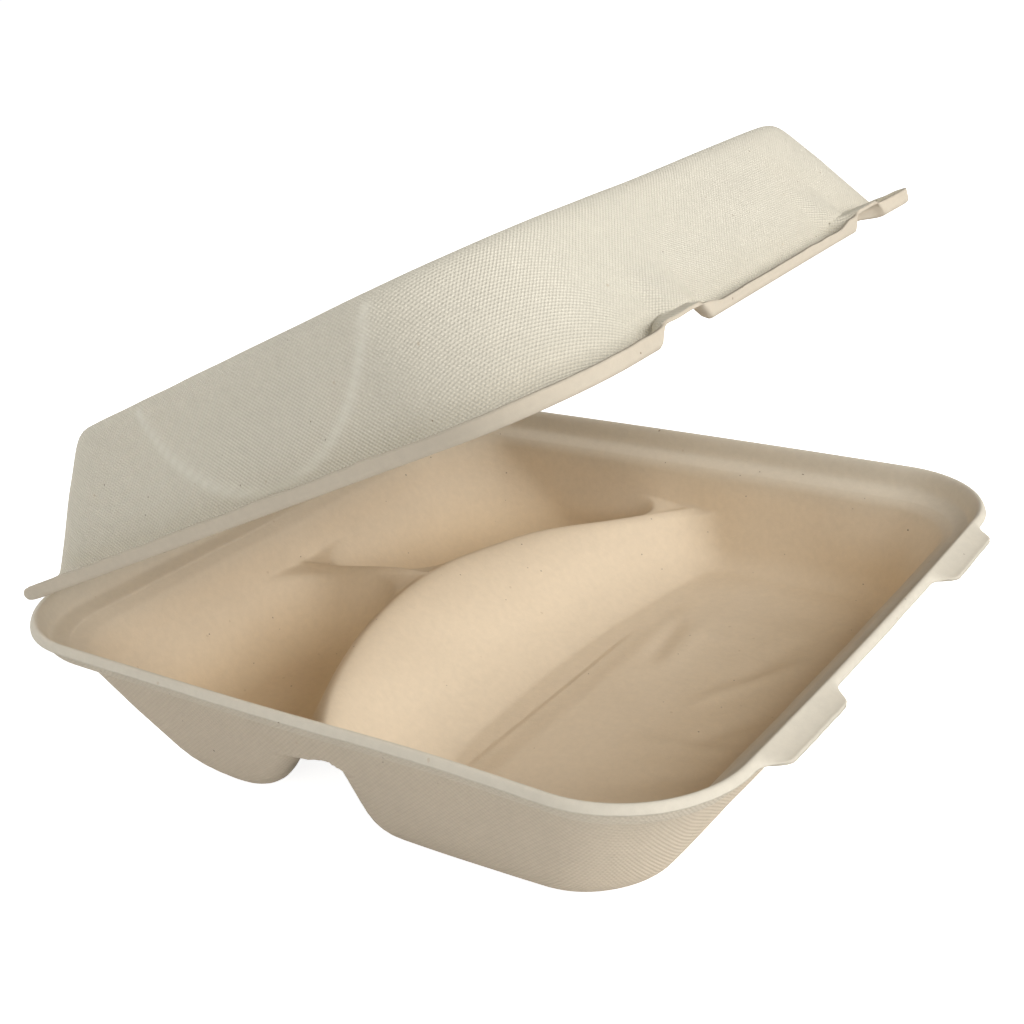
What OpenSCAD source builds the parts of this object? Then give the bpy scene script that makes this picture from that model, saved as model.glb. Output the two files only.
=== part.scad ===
// Moulded fibre food container with a hinged lid and three compartments.
// X runs from the hinge edge to the latch edge, Y from the near side to the far side, Z is up.
// It is built with the hinge edge at X = 0, the near side at Y = 0 and the rim in the plane Z = 0,
// then moved so that it stands on Z = 0 about the origin. The lid is drawn part open, as it rests.

/* [Tray] */
// Length of one side of the square rim
side = 229; // [200:1:250]
// Radius of the rim's corners in plan
corner_r = 34; // [28:1:40]
// How far the middle of each free side bows outward
side_bow = 2; // [0:0.5:4]
// Depth of the compartments below the rim
tray_depth = 42; // [36:1:50]
// Thickness of the moulded fibre
wall = 0.9; // [0.7:0.1:1.2]
// How far the outer edge of the rim turns down
lip_drop = 2.2; // [1.5:0.1:3]

/* [Walls] */
// Inset of the ledge's outer edge from the rim
ledge_out = 5; // [4:0.5:6]
// Depth of the ledge below the rim
ledge_depth = 7.2; // [6:0.2:8.5]
// Inset of the ledge's inner edge, where the walls start
ledge_in = 11; // [10:0.5:12.5]
// Inset of the floor's edge from the rim on the near and far sides
side_floor_inset = 19.5; // [18:0.5:22]
// Inset of the floor's edge from the rim on the latch side
latch_floor_inset = 27; // [20:0.5:30]
// Inset of the floor's edge from the rim on the hinge side
hinge_floor_inset = 38.5; // [32:0.5:41]
// Radius of the floor's corners on the latch side
latch_floor_r = 21; // [17:1:30]
// Radius of the floor's corners on the hinge side
hinge_floor_r = 38; // [26:1:42]

/* [Dividers] */
// Depth of the dividers' crests below the rim
crest_depth = 19.5; // [17:0.5:22]
// Distance from the hinge edge to the nearest point of the curved divider
curve_x = 76.5; // [72:0.5:84]
// Radius of the curved divider's crest
curve_r = 140; // [125:1:170]
// Distance from the hinge edge to the foot of the curved divider's ramp
foot_x = 116; // [110:1:122]
// Radius of the ramp's foot
foot_r = 310; // [260:5:400]
// Half the width of a crest's round top
crest_half = 3; // [2:0.5:4]
// Slope of the small compartments' divider walls, as width gained for each unit of depth
divider_slope = 0.6; // [0.4:0.05:0.7]
// Radius of the bends between walls and floors
floor_bend = 7; // [5:0.5:8]
// Roundness of the compartments' upright corners
corner_blend = 9; // [7:0.5:13]

/* [Latch] */
// Distance of each latch tab's middle from the middle of the side
tab_offset = 56; // [53:1:58]
// Width of a tab at its root
tab_root = 44; // [38:1:46]
// Width of a tab at its tip
tab_tip = 30; // [24:1:34]
// How far a tab hangs below the rim
tab_drop = 2; // [1:0.5:6]
// How far a tab flares outward
tab_flare = 5.5; // [3:0.5:7]

/* [Lid] */
// Length of the lid from the fold to its latch edge
lid_length = 223; // [196:1:244]
// Width of the lid across the hinge
lid_width = 222; // [194:1:243]
// Height of the lid's top above its rim
lid_height = 37.5; // [32:0.5:42]
// How far the outer edge of the lid's rim turns up
lid_lip = 4; // [3:0.5:5]
// Inset of the lid's walls from its rim, at the rim
lid_foot_inset = 8; // [7:0.5:10]
// Further inset of the near and far walls at the lid's top
lid_side_lean = 6; // [4:0.5:12]
// Further inset of the latch wall at the lid's top
lid_latch_lean = 15; // [8:0.5:18]
// Further inset of the hinge wall at the lid's top
lid_hinge_lean = 25; // [16:0.5:28]
// Radius of the corners of the lid's walls in plan
lid_wall_r = 36; // [30:1:42]
// Half the width of a latch notch
notch_half = 15; // [12:1:17]
// Distance of each notch's middle from the middle of the side
notch_offset = 52; // [50:1:54]

/* [Hinge] */
// Angle by which the lid stands open at rest
open_angle = 24; // [10:1:60]
// Clearance between the lid and the tray at the fold
fold_gap = 0.3; // [0.2:0.05:0.5]

/* [Hidden] */

mid = side / 2;
origin = [(side + side_bow + tab_flare) / 2, mid, -tray_depth - wall];
tray_fibre = [0.80, 0.72, 0.60];
lid_fibre = [0.84, 0.81, 0.72];

// Rings of points below a compartment's border: fractions of the crest's round and of the bend's height
crest_steps = [0, 0.06, 0.35, 1];
wall_steps = [0.5];
bend_steps = [1, 0.6, 0.3, 0.1, 0];
crest_round = 2.5;
bend_width = 0.75 * floor_bend;
corner_steps = 7;
side_steps = 11;
curve_steps = 15;
cross_steps = 9;
lid_steps = 20;
bisections = 14;
probe = 0.05;

// Rounding of the rim and the drop of its ledge
lip_round = 0.9;
ledge_fall = 0.9;
wall_start = 2.1;
wall_first = 4.5;
tab_taper = tab_root - tab_tip;

// Notches of the lid: how far they narrow, rise and push the wall out
notch_taper = 6;
notch_rise = 0.2;
notch_bulge = [0, 0, 0, 0, 0, 1, 0.8, 0.2, 0, 0, 0, 0];

function lerp(a, b, t) = a + (b - a) * t;
function clamp01(t) = min(1, max(0, t));
function smooth(t) = let (u = clamp01(t)) u * u * (3 - 2 * u);
function unit(v) = v / norm(v);
function joined(rows) = [for (r = rows) each r];
function reversed(v) = [for (i = [len(v) - 1:-1:0]) v[i]];
function part_of(v, from, count) = [for (i = [0:count - 1]) v[(from + i) % len(v)]];

// A station runs round a rounded rectangle: its share of the way along X and Y and its outward direction
function corner(u, v, from) =
    [for (i = [0:corner_steps]) let (a = from + 90 * i / corner_steps) [u, v, cos(a), sin(a)]];
function run_x(from, to, v, ny, n) = [for (i = [1:n - 1]) [lerp(from, to, i / n), v, 0, ny]];
function run_y(from, to, u, nx, n) = [for (i = [1:n - 1]) [u, lerp(from, to, i / n), nx, 0]];

// Where a station lies on the rectangle with edges [x0, x1, y0, y1] and corner radii at the hinge and the latch
function place(s, box, radii) =
    let (r = lerp(radii[0], radii[1], s[0]))
    [
        lerp(box[0] + radii[0], box[1] - radii[1], s[0]) + s[2] * r,
        lerp(box[2] + r, box[3] - r, s[1]) + s[3] * r
    ];
function both(r) = [r, r];

// Stations of the latch side, with points at the root, shoulder and tip of two features
function feature_stops(offset, root, taper) = [
    for (s = [-1, 1], o = [-1, 1]) each
        let (h = root / 2, at = mid + s * offset, in = [0, taper / 4, taper / 2, 0.35 * root])
            o < 0 ? [for (d = in) at - h + d] : [for (d = reversed(in)) at + h - d]
];
function latch_run(stops, low, high) = [
    for (i = [0:len(stops) - 1]) each concat(
        [[1, (stops[i] - low) / (high - low), 1, 0]],
        i == len(stops) / 2 - 1
            ? [for (k = [1:4]) [1, (lerp(stops[i], stops[i + 1], k / 5) - low) / (high - low), 1, 0]]
            : []
    )
];
// Share of a tab or notch present at a distance from its middle
function feature(y, offset, root, taper) = clamp01((root / 2 - abs(abs(y - mid) - offset)) / (taper / 2));

// Outward bow of the tray's free sides, fading towards the corners and the fold
function bowed(p) =
    let (u = 2 * p[0] / side - 1, v = 2 * p[1] / side - 1)
    [p[0] + max(u, 0) * side_bow * (1 - v * v), p[1] + v * side_bow * (1 - u * u), p[2]];

// Normal of a grid of closed rings at ring i, point j
function across(g, i, j) = let (n = len(g[0])) g[i][(j + 1) % n] - g[i][(j + n - 1) % n];
function along(g, i, j) = g[min(i + 1, len(g) - 1)][j] - g[max(i - 1, 0)][j];
function grid_normal(g, i, j) = unit(cross(across(g, i, j), along(g, i, j)));

// Faces between two rings of point numbers in the list p, each split along its shorter diagonal
function between(a, b, p) = [
    for (j = [0:len(a) - 1])
        let (k = (j + 1) % len(a), first = norm(p[a[j]] - p[b[k]]), second = norm(p[a[k]] - p[b[j]]))
            each first <= second
                ? [[a[j], a[k], b[k]], [a[j], b[k], b[j]]]
                : [[a[j], a[k], b[j]], [a[k], b[k], b[j]]]
];
function ring_at(a, n) = [for (j = [0:n - 1]) a + j];
function fan(a, n, centre) = [for (j = [0:n - 1]) [a + j, a + (j + 1) % n, centre]];
// Faces of a closed shell made of a skin, the same skin count points further on and their shared edge
function shell_faces(skin, count, edge_n) = concat(
    [for (f = skin) [f[2], f[1], f[0]]],
    [for (f = skin) [f[0] + count, f[1] + count, f[2] + count]],
    [for (j = [0:edge_n - 1]) let (k = (j + 1) % edge_n) each [[j, k, k + count], [j, k + count, j + count]]]
);

// Crest of the curved divider and foot of its ramp, as X for a given Y
function crest_x(y) = curve_x + curve_r - sqrt(curve_r * curve_r - (y - mid) * (y - mid));
function ramp_foot_x(y) = foot_x + foot_r - sqrt(foot_r * foot_r - (y - mid) * (y - mid));

// Widening of a crest's round top at a depth below the crest
function crest_spread(below) = let (u = clamp01(below / crest_round)) crest_half * sqrt(u * (2 - u));
// Widening where a wall bends into the floor, at a depth below the rim
function bend_spread(depth) =
    let (u = clamp01((tray_depth - depth) / floor_bend)) bend_width * (1 - sqrt(u * (2 - u)));

// Edges of the outer walls and the radii of their corners at a depth below the rim
function wall_share(depth) = (depth - ledge_depth) / (tray_depth - ledge_depth);
function wall_box(depth, more = 0) =
    let (
        t = wall_share(depth),
        h = lerp(ledge_in, hinge_floor_inset, t) + more,
        l = lerp(ledge_in, latch_floor_inset, t) + more,
        s = lerp(ledge_in, side_floor_inset, t) + more
    )
    [h, side - l, s, side - s];
function wall_radii(depth) =
    lerp(both(corner_r - ledge_in), [hinge_floor_r, latch_floor_r], clamp01(wall_share(depth)));
// Gradient of the outer walls where a station looks at them, as width gained for each unit of depth
function wall_gradient(s) =
    let (x_inset = s[2] < 0 ? hinge_floor_inset : latch_floor_inset)
    (s[2] * s[2] * (x_inset - ledge_in) + s[3] * s[3] * (side_floor_inset - ledge_in))
        / (tray_depth - ledge_depth);

// Distance of a plan point inside the outer walls
function inside_wall(p, depth) =
    let (
        b = wall_box(depth, bend_spread(depth)),
        r = wall_radii(depth)[p[0] < (b[0] + b[1]) / 2 ? 0 : 1],
        q = [
            abs(p[0] - (b[0] + b[1]) / 2) - (b[1] - b[0]) / 2 + r,
            abs(p[1] - (b[2] + b[3]) / 2) - (b[3] - b[2]) / 2 + r
        ]
    )
    r - norm([max(q[0], 0), max(q[1], 0)]) - min(max(q[0], q[1]), 0);

// Distances of a plan point inside the divider walls of the large and the small compartments
function inside_ramp(p, depth) =
    let (t = (depth - crest_depth) / (tray_depth - crest_depth), y = min(side, max(0, p[1])))
    p[0] - lerp(crest_x(y), ramp_foot_x(y), t) - crest_spread(depth - crest_depth) * (1 - t)
        - bend_spread(depth);
function inside_curve(p, depth) =
    let (below = depth - crest_depth, y = min(side, max(0, p[1])))
    crest_x(y) - p[0] - crest_spread(below) - below * divider_slope - bend_spread(depth);
function inside_cross(p, depth, s) =
    let (below = depth - crest_depth)
    s * (p[1] - mid) - crest_spread(below) - below * divider_slope - bend_spread(depth);

// Blend of two distances that rounds the corner between them
function soft_min(a, b, k) = let (h = max(k - abs(a - b), 0) / k) min(a, b) - h * h * k / 4;
function blend_at(depth) = corner_blend * smooth((depth - crest_depth) / crest_round) + 0.01;
function inside_large(p, depth) = soft_min(inside_wall(p, depth), inside_ramp(p, depth), blend_at(depth));
function inside_small(p, depth, s) =
    let (k = blend_at(depth))
    soft_min(inside_wall(p, depth), soft_min(inside_curve(p, depth), inside_cross(p, depth, s), k), k);
// Compartments: 0 is the large one, 1 the far small one and -1 the near small one
function inside(p, depth, which) = which == 0 ? inside_large(p, depth) : inside_small(p, depth, which);

// Share of the way from a border point to the compartment's middle at which its wall is met
function met_at(p, middle, depth, which, lo = 0, hi = 1, n = bisections) =
    n == 0 ? (lo + hi) / 2
    : let (t = (lo + hi) / 2)
        inside(lerp(p, middle, t), depth, which) < 0
            ? met_at(p, middle, depth, which, t, hi, n - 1)
            : met_at(p, middle, depth, which, lo, t, n - 1);
// Direction square to a compartment's surface, into its hollow
function hollow_side(p, depth, which) =
    unit([
        inside(p + [probe, 0], depth, which) - inside(p - [probe, 0], depth, which),
        inside(p + [0, probe], depth, which) - inside(p - [0, probe], depth, which),
        inside(p, depth - probe, which) - inside(p, depth + probe, which)
    ]);

// Depths of the rings below a compartment's border
ring_depths = concat(
    [for (t = crest_steps) crest_depth + crest_round * t],
    [for (t = wall_steps) lerp(crest_depth + crest_round, tray_depth - floor_bend, t)],
    [for (t = bend_steps) tray_depth - floor_bend * t]
);
rings = len(ring_depths);
function cell_rings(border, middle, which) = [
    for (k = [1:rings - 1]) [
        for (b = border)
            let (p = [b[0], b[1]], q = lerp(p, middle, met_at(p, middle, ring_depths[k], which)))
            [q[0], q[1], -ring_depths[k]]
    ]
];
function under_cell(cell, which) = [
    for (k = [0:rings - 2]) [
        for (p = cell[k])
            p - wall * (k == rings - 2 ? [0, 0, 1] : hollow_side([p[0], p[1]], -p[2], which))
    ]
];

// The rim is plain along the fold and turned over along the other sides
rim_box = [0, side, 0, side];
function turned(x) = smooth(2 * x / corner_r);
function rim_row(inset, depth) =
    [[inset, side - inset, inset, side - inset], both(corner_r - inset), depth];
function wall_row(depth) = [wall_box(depth), wall_radii(depth), depth];
rim_rows = [
    rim_row(0, lip_drop), rim_row(0.25, 0.6), rim_row(lip_round, 0), rim_row(2 * lip_round, 0.5),
    rim_row(lerp(2 * lip_round, ledge_out, 0.55), 0.6 * ledge_depth),
    rim_row(ledge_out, ledge_depth - 0.5),
    rim_row((ledge_out + ledge_in) / 2, ledge_depth + ledge_fall),
    rim_row(ledge_in - 0.6, ledge_depth + wall_start),
    wall_row(ledge_depth + wall_first),
    wall_row(crest_depth)
];
function tray_rim(stations) = [
    for (k = [0:len(rim_rows) - 1]) [
        for (s = stations)
            let (
                row = rim_rows[k],
                at = place(s, rim_box, both(corner_r)),
                tab = k == 0 && s[2] == 1 ? feature(at[1], tab_offset, tab_root, tab_taper) : 0,
                depth = k < 2 ? lerp(0.4, row[2], turned(at[0])) : row[2],
                p = place(s, row[0], row[1])
            )
            [p[0] + tab * tab_flare, p[1], -lerp(depth, tab_drop, tab)]
    ]
];

// Stations of the rim, counter-clockwise from the curved divider's joint with the near side
crest_box = wall_box(crest_depth);
crest_radii = wall_radii(crest_depth);
near_join = [crest_x(crest_box[2]), crest_box[2]];
far_join = [near_join[0], crest_box[3]];
join_u = (near_join[0] - crest_box[0] - crest_radii[0])
    / (crest_box[1] - crest_box[0] - crest_radii[0] - crest_radii[1]);
rim_near = concat([[join_u, 0, 0, -1]], run_x(join_u, 1, 0, -1, side_steps));
rim_latch = concat(
    corner(1, 0, -90),
    latch_run(feature_stops(tab_offset, tab_root, tab_taper), corner_r, side - corner_r),
    corner(1, 1, 0));
rim_far = run_x(1, join_u, 1, 1, side_steps);
rim_far_hinge = concat(
    [[join_u, 1, 0, 1]], run_x(join_u, 0, 1, 1, side_steps),
    corner(0, 1, 90), run_y(1, 0.5, 0, -1, side_steps));
rim_near_hinge = concat(
    [[0, 0.5, -1, 0]], run_y(0.5, 0, 0, -1, side_steps),
    corner(0, 0, 180), run_x(0, join_u, 0, -1, side_steps));
stations = concat(rim_near, rim_latch, rim_far, rim_far_hinge, rim_near_hinge);
large_count = len(rim_near) + len(rim_latch) + len(rim_far) + 1;
small_count = len(rim_far_hinge) + 1;

// Crest points between the joints: the far half of the curve, its near half and the cross divider
function on_curve(y) = [crest_x(y), y, -crest_depth];
crossing = on_curve(mid);
far_curve = [for (i = [1:curve_steps - 1]) on_curve(lerp(far_join[1], mid, i / curve_steps))];
near_curve = [for (i = [1:curve_steps - 1]) on_curve(lerp(mid, near_join[1], i / curve_steps))];
cross_crest =
    [for (i = [1:cross_steps - 1]) [lerp(curve_x, crest_box[0], i / cross_steps), mid, -crest_depth]];

large_middle = [lerp(foot_x, side - latch_floor_inset, 0.45), mid];
small_middle = [hinge_floor_inset + 17, lerp(side_floor_inset, mid, 0.4)];
middles = [large_middle, [small_middle[0], side - small_middle[1]], small_middle];
kinds = [0, 1, -1];

// The skin's underside at the border of the compartments: square to the wall, or straight down on a crest
function border_under(p, s) =
    p - wall * (s == undef ? [0, 0, 1] : unit([-s[2], -s[3], wall_gradient(s)]));

module tray() {
    rim = tray_rim(stations);
    last = len(rim) - 1;
    total = len(stations);
    far_at = large_count - 1;
    near_at = far_at + small_count - 1;
    far_walls = part_of(rim[last], far_at, small_count);
    near_walls = part_of(rim[last], near_at, small_count);
    borders = [
        concat(part_of(rim[last], 0, large_count), far_curve, [crossing], near_curve),
        concat(far_walls, reversed(cross_crest), [crossing], reversed(far_curve)),
        concat(near_walls, reversed(near_curve), [crossing], cross_crest)
    ];
    sizes = [for (b = borders) len(b)];
    cells = [for (c = [0:2]) cell_rings(borders[c], middles[c], kinds[c])];
    rim_under = [
        for (i = [0:last]) [
            for (j = [0:total - 1])
                i == last ? border_under(rim[i][j], stations[j]) : rim[i][j] - wall * grid_normal(rim, i, j)
        ]
    ];
    // Points of one skin: the rim, the crests' own points, then each compartment's rings and its middle
    crests = concat(far_curve, [crossing], near_curve, cross_crest);
    top = concat(
        joined(rim), crests,
        [for (c = [0:2]) each concat(joined(cells[c]), [[middles[c][0], middles[c][1], -tray_depth]])]
    );
    under = concat(
        joined(rim_under), [for (p = crests) border_under(p)],
        [for (c = [0:2]) each concat(
            joined(under_cell(cells[c], kinds[c])), [[middles[c][0], middles[c][1], -tray_depth - wall]])]
    );
    rim_points = (last + 1) * total;
    joint_at = last * total;
    curve_n = len(far_curve);
    crossing_at = rim_points + curve_n;
    first_cell = rim_points + len(crests);
    cell_at = [
        first_cell,
        first_cell + (rings - 1) * sizes[0] + 1,
        first_cell + (rings - 1) * (sizes[0] + sizes[1]) + 2
    ];
    run_far = [for (i = [0:curve_n - 1]) rim_points + i];
    run_near = [for (i = [1:curve_n]) crossing_at + i];
    run_cross = [for (i = [1:len(cross_crest)]) crossing_at + curve_n + i];
    border_index = [
        concat([for (j = [0:large_count - 1]) joint_at + j], run_far, [crossing_at], run_near),
        concat([for (j = [0:small_count - 1]) joint_at + far_at + j],
            reversed(run_cross), [crossing_at], reversed(run_far)),
        concat([for (j = [0:small_count - 1]) joint_at + (near_at + j) % total],
            reversed(run_near), [crossing_at], run_cross)
    ];
    skin = concat(
        [for (k = [0:last - 1]) each between(ring_at(k * total, total), ring_at((k + 1) * total, total), top)],
        [for (c = [0:2]) let (n = sizes[c], a = cell_at[c]) each concat(
            [for (k = [0:rings - 2]) each between(
                k == 0 ? border_index[c] : ring_at(a + (k - 1) * n, n), ring_at(a + k * n, n), top)],
            fan(a + (rings - 2) * n, n, a + (rings - 1) * n)
        )]
    );
    color(tray_fibre)
        translate(-origin)
            polyhedron(
                points = [for (p = concat(top, under)) bowed(p)],
                faces = shell_faces(skin, len(top), total),
                convexity = 8
            );
}

// Rows of the lid's inner skin in the closed position: inset, height and share of the walls' lean
lid_y = (side - lid_width) / 2;
lid_r = corner_r - lid_y;
lid_rows = [
    [0, lid_lip, 0], [0.5, 0.8, 0], [1.4, 0, 0], [3.2, 0.2, 0], [lid_foot_inset - 2.5, 1.4, 0],
    [lid_foot_inset, 4.5, 0], [lid_foot_inset, 14.5, 0.33], [lid_foot_inset, lid_height - 9, 0.75],
    [lid_foot_inset + 0.3, lid_height - 4, 0.95], [lid_foot_inset + 1.7, lid_height - 1.5, 1],
    [lid_foot_inset + 4, lid_height - 0.3, 1], [lid_foot_inset + 7, lid_height, 1]
];
lid_wall_row = 5;
function lid_box(inset, t) = [
    inset + t * lid_hinge_lean, lid_length - inset - t * lid_latch_lean,
    lid_y + inset + t * lid_side_lean, lid_y + lid_width - inset - t * lid_side_lean
];
function lid_skin(stations) = [
    for (k = [0:len(lid_rows) - 1]) [
        for (s = stations)
            let (
                row = lid_rows[k],
                rim = place(s, lid_box(0, 0), both(lid_r)),
                notch = s[2] == 1 ? feature(rim[1], notch_offset, 2 * notch_half, notch_taper) : 0,
                lifted = k <= lid_wall_row ? max(row[1], lid_lip + notch_rise * k) : row[1],
                plain = k < 2 ? lerp(0.2, row[1], turned(rim[0])) : row[1],
                r = k < lid_wall_row ? lid_r - row[0] : lid_wall_r + lid_foot_inset - row[0],
                p = place(s, lid_box(row[0], row[2]), both(r))
            )
            [p[0] + notch * notch_bulge[k], p[1], lerp(plain, lifted, notch)]
    ]
];

module lid_closed() {
    trip = concat(
        run_x(0, 1, 0, -1, lid_steps), corner(1, 0, -90),
        latch_run(
            feature_stops(notch_offset, 2 * notch_half, notch_taper),
            lid_y + lid_r, lid_y + lid_width - lid_r),
        corner(1, 1, 0), run_x(1, 0, 1, 1, lid_steps),
        corner(0, 1, 90), run_y(1, 0, 0, -1, lid_steps), corner(0, 0, 180)
    );
    n = len(trip);
    skin_rings = lid_skin(trip);
    last = len(skin_rings) - 1;
    middle = [lid_length / 2, mid, lid_height];
    inner = concat(joined(skin_rings), [middle]);
    outer = concat(
        [for (i = [0:last], j = [0:n - 1])
            skin_rings[i][j] + wall * (i == last ? [0, 0, 1] : grid_normal(skin_rings, i, j))],
        [middle + [0, 0, wall]]
    );
    skin = concat(
        [for (k = [0:last - 1]) each between(ring_at(k * n, n), ring_at((k + 1) * n, n), inner)],
        fan(last * n, n, (last + 1) * n)
    );
    polyhedron(
        points = concat(outer, inner),
        faces = shell_faces(skin, len(inner), n),
        convexity = 8
    );
}

module lid() {
    color(lid_fibre)
        translate([-fold_gap, 0, fold_gap / 2] - origin)
            rotate([0, -open_angle, 0])
                translate([fold_gap, 0, fold_gap / 2])
                    lid_closed();
}

tray();
lid();
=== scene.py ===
import math

import bpy
import numpy as np
from mathutils import Matrix


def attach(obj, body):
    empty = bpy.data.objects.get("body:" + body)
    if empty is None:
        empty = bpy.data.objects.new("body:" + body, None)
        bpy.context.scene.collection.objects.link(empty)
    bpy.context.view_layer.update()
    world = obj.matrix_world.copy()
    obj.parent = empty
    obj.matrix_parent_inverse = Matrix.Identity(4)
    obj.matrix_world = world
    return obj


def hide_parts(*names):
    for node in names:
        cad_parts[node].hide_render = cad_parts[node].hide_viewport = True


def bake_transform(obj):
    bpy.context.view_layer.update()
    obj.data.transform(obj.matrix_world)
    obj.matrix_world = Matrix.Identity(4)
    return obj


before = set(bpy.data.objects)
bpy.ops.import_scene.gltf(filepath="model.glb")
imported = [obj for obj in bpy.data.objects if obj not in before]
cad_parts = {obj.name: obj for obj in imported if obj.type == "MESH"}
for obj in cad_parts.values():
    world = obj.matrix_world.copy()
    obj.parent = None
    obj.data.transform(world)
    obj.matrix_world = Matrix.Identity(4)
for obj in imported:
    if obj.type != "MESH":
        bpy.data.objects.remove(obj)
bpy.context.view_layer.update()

scene = bpy.context.scene

# Sizes in millimetres, as in the part's source: X from the hinge edge, Y from the near side, Z from the rim.
# Corners and depths of the tray; its ledge; the floor's distances from the rim
SIDE, CORNER_R, BOW, DEPTH, WALL = 229.0, 34.0, 2.0, 42.0, 0.9
LEDGE_DEPTH, LEDGE_IN = 7.2, 11.0
FLOOR_SIDE, FLOOR_LATCH, FLOOR_HINGE = 19.5, 27.0, 38.5
FLOOR_R = (38.0, 21.0)
# The curved divider: depth of its crest, and the arcs of its crest and its ramp's foot
CREST, CURVE_X, CURVE_R, FOOT_X, FOOT_R = 19.5, 76.5, 140.0, 118.0, 400.0
CREST_HALF, CROSS_HALF, CREST_ROUND, DIVIDER_SLOPE = 2.6, 1.5, 2.5, 0.6
# Rounding between walls, floors and dividers, and how far the dividers' tops leave the level crest
BEND, RAMP_BEND, BLEND, WEB_BLEND, CROSS_BLEND = 7.0, 0.55, 8.0, 19.0, 20.0
MIDDLE_LIFT, NEAR_LIFT, FAR_DROP, HINGE_DROP = 3.2, 0.8, 4.0, 3.0
SMALL_LIFT = 0.7
# Latch tabs, then the lid with its lean per side, notches and the arc on its near wall
TAB_AT, TAB_ROOT, TAB_TIP, TAB_DROP, TAB_FLARE = 56.0, 44.0, 30.0, 2.0, 5.5
LID_LENGTH, LID_WIDTH, LID_HEIGHT = 223.0, 222.0, 37.5
LID_FOOT, LID_WALL_R = 8.0, 36.0
LEAN_SIDE, LEAN_LATCH, LEAN_HINGE = 6.0, 15.0, 25.0
NOTCHES, NOTCH_TAPER = ((-55.0, 24.0), (57.0, 21.0)), 6.0
ARC_X, ARC_Z, ARC_R, ARC_HEIGHT = 129.0, 50.6, 46.0, 0.4
# How far the lid stands open, the gap at the crease, and the lift of the lid's far latch corner
OPEN, GAP = math.radians(24), 0.3
TWIST = 4.0
# The large floor's panel and folds
PANEL_EDGE, PANEL_HEIGHT, FOLD_SHARE = 129.3, 0.8, 0.6
# Rings of points over the floors and the lid's top
LARGE_RINGS, SMALL_RINGS, LID_TOP_RINGS = 34, 12, 16
# The number that marks points of the rim and the crests, where 0, 1 and -1 are the compartments
RIM = 9
# A millimetre in the scene's metres
MM = 0.001
MID = SIDE / 2
ORIGIN = np.array([(SIDE + BOW + TAB_FLARE) / 2, MID, -DEPTH - WALL])
LID_Y = (SIDE - LID_WIDTH) / 2
LID_R = CORNER_R - LID_Y


def lerp(a, b, t):
    """The value a share t of the way from a to b."""
    return a + (b - a) * t


def smooth(t):
    """An S curve from 0 to 1 over t from 0 to 1."""
    t = np.clip(t, 0, 1)
    return t * t * (3 - 2 * t)


def unit(v):
    """Vectors scaled to length 1."""
    return v / np.maximum(np.linalg.norm(v, axis=-1, keepdims=True), 1e-9)


def waves(points, seed, count, shortest, longest):
    """Smooth unevenness between about -1 and 1 at points, from seeded plane waves."""
    rng = np.random.default_rng(seed)
    total = np.zeros(points.shape[:-1])
    for _ in range(count):
        d = unit(rng.normal(size=3))
        k = 2 * math.pi / rng.uniform(shortest, longest)
        total += np.sin(points @ d * k + rng.uniform(0, 6.28))
    return total / math.sqrt(count) / 1.4


# Outline stations
def corner(u, v, start, n):
    """Stations of a quarter turn at the outline's corner (u, v): place, then outward direction."""
    a = np.radians(start + 90 * np.arange(n + 1) / n)
    return np.column_stack([np.full(n + 1, u), np.full(n + 1, v), np.cos(a), np.sin(a)])


def run(a, b, n, axis, other, outward):
    """Stations along one straight side, without its ends."""
    t = lerp(a, b, np.arange(1, n) / n)
    rows = np.zeros((n - 1, 4))
    rows[:, axis] = t
    rows[:, 1 - axis] = other
    rows[:, 3 - axis] = outward
    return rows


def place(s, box, radii):
    """Plan points of stations on a round-cornered box, with radii for the hinge and the latch end."""
    r = lerp(radii[0], radii[1], s[:, 0])
    x = lerp(box[0] + radii[0], box[1] - radii[1], s[:, 0]) + s[:, 2] * r
    y = lerp(box[2] + r, box[3] - r, s[:, 1]) + s[:, 3] * r
    return np.column_stack([x, y])


def feature(y, middle, root, taper):
    """1 within a tab or notch of width root about its middle, with tapered ends."""
    return smooth((root / 2 + 0.8 - np.abs(y - MID - middle)) / (taper / 2 + 1.6))


def bowed(p):
    """The free sides bow out; the near rim stays straight and rises a little towards the latch."""
    x, y, z = p.T
    u, v = 2 * x / SIDE - 1, 2 * y / SIDE - 1
    near_rim = np.where(v < 0, smooth(-z / 25), 1)
    rise = 1.2 * np.exp(-((x - 160) / 38) ** 2) * smooth((30 - y) / 25) * smooth((z + DEPTH) / 30)
    return np.column_stack([
        x + np.maximum(u, 0) * BOW * (1 - v * v), y + v * BOW * (1 - u * u) * near_rim, z + rise])


def grid_normals(rings):
    """Normals of closed rings of points, shape (rows, n, 3)."""
    across = np.roll(rings, -1, 1) - np.roll(rings, 1, 1)
    along = np.empty_like(rings)
    along[1:-1] = rings[2:] - rings[:-2]
    along[0], along[-1] = rings[1] - rings[0], rings[-1] - rings[-2]
    return unit(np.cross(across, along))


def refine(rows, steps):
    """Catmull-Rom curve through the rows, with steps[i] points for the stretch after row i."""
    rows = np.array(rows, float)
    ext = np.vstack([2 * rows[0] - rows[1], rows, 2 * rows[-1] - rows[-2]])
    out = []
    for i in range(len(rows) - 1):
        p0, p1, p2, p3 = ext[i:i + 4]
        for t in np.arange(steps[i]) / steps[i]:
            out.append(0.5 * (2 * p1 + (p2 - p0) * t + (2 * p0 - 5 * p1 + 4 * p2 - p3) * t * t
                              + (3 * p1 - p0 - 3 * p2 + p3) * t ** 3))
    out.append(rows[-1])
    return np.array(out)


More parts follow.
